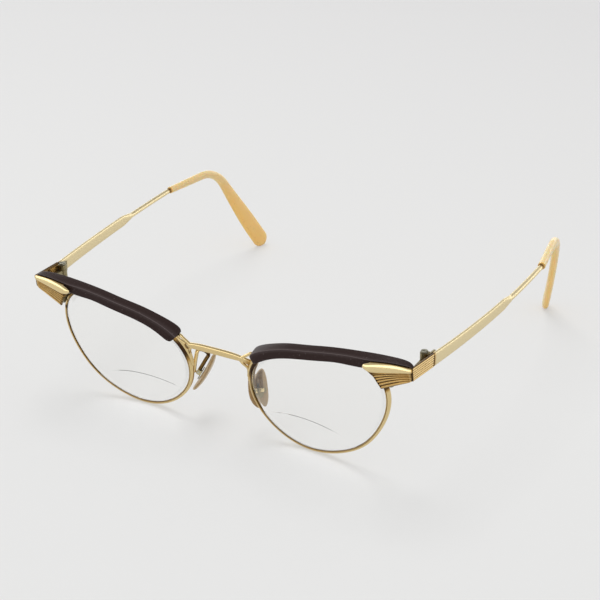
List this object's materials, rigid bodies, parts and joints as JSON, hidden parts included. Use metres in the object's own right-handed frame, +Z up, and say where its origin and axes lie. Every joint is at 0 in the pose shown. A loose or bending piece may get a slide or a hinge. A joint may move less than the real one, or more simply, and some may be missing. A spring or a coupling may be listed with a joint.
{
  "type": "eyeglasses",
  "caption": "Cat eye eyeglasses: metal eyewires with reading-field lenses, dark brow trims, fluted corners, rocking nose pads and folding hooked temples.",
  "frame": {"origin": "middle of the whole frame's bounding box in X and Y, at the height of the surface it stands on", "axes": "+X towards the wearer's left side, -Y is the front, +Z up"},
  "size_m": [0.1446, 0.1324, 0.0406],
  "materials": {
    "gold_filled": "polished, slightly worn",
    "brow_plastic": "polished, dark plum brown",
    "sleeve_plastic": "polished translucent amber",
    "pad_plastic": "aged clear cream",
    "lens_glass": "clear, polished",
    "screw_steel": "dull"
  },
  "bodies": {
    "front": {"bridge": "gold_filled", "left_eyewire": "gold_filled", "right_eyewire": "gold_filled", "left_lens": "lens_glass", "right_lens": "lens_glass", "left_brow_trim": "brow_plastic", "right_brow_trim": "brow_plastic", "left_brow_screw": "screw_steel", "right_brow_screw": "screw_steel", "left_endpiece": "gold_filled", "right_endpiece": "gold_filled", "left_end_block": "gold_filled", "right_end_block": "gold_filled", "left_closing_barrels": "gold_filled", "right_closing_barrels": "gold_filled", "left_closing_screw": "screw_steel", "right_closing_screw": "screw_steel", "left_front_hinge": "gold_filled", "right_front_hinge": "gold_filled", "left_pad_arm": "gold_filled", "right_pad_arm": "gold_filled"},
    "left_temple": {"left_temple_hinge": "gold_filled", "left_hinge_screw": "screw_steel", "left_temple_butt": "gold_filled", "left_temple_shaft": "gold_filled", "left_temple_tip": "sleeve_plastic"},
    "right_temple": {"right_temple_hinge": "gold_filled", "right_hinge_screw": "screw_steel", "right_temple_butt": "gold_filled", "right_temple_shaft": "gold_filled", "right_temple_tip": "sleeve_plastic"},
    "left_pad": {"left_nose_pad": "pad_plastic", "left_pad_mount": "gold_filled", "left_pad_pin": "screw_steel"},
    "right_pad": {"right_nose_pad": "pad_plastic", "right_pad_mount": "gold_filled", "right_pad_pin": "screw_steel"}
  },
  "joints": [
    {"name": "left_temple_fold", "type": "hinge", "parent": "front", "child": "left_temple", "pos_m": [0.0632, -0.05232, 0.0366], "axis": [0, 0, 1], "range_deg": [0, 90]},
    {"name": "right_temple_fold", "type": "hinge", "parent": "front", "child": "right_temple", "pos_m": [-0.0632, -0.05232, 0.0366], "axis": [0, 0, -1], "range_deg": [0, 84]},
    {"name": "left_pad_rock", "type": "hinge", "parent": "front", "child": "left_pad", "pos_m": [0.01157, -0.05439, 0.01433], "axis": [0.4261, 0.8529, -0.3017], "range_deg": [-8, 4]},
    {"name": "right_pad_rock", "type": "hinge", "parent": "front", "child": "right_pad", "pos_m": [-0.01157, -0.05439, 0.01433], "axis": [0.4261, -0.8529, 0.3017], "range_deg": [-8, 4]}
  ]
}
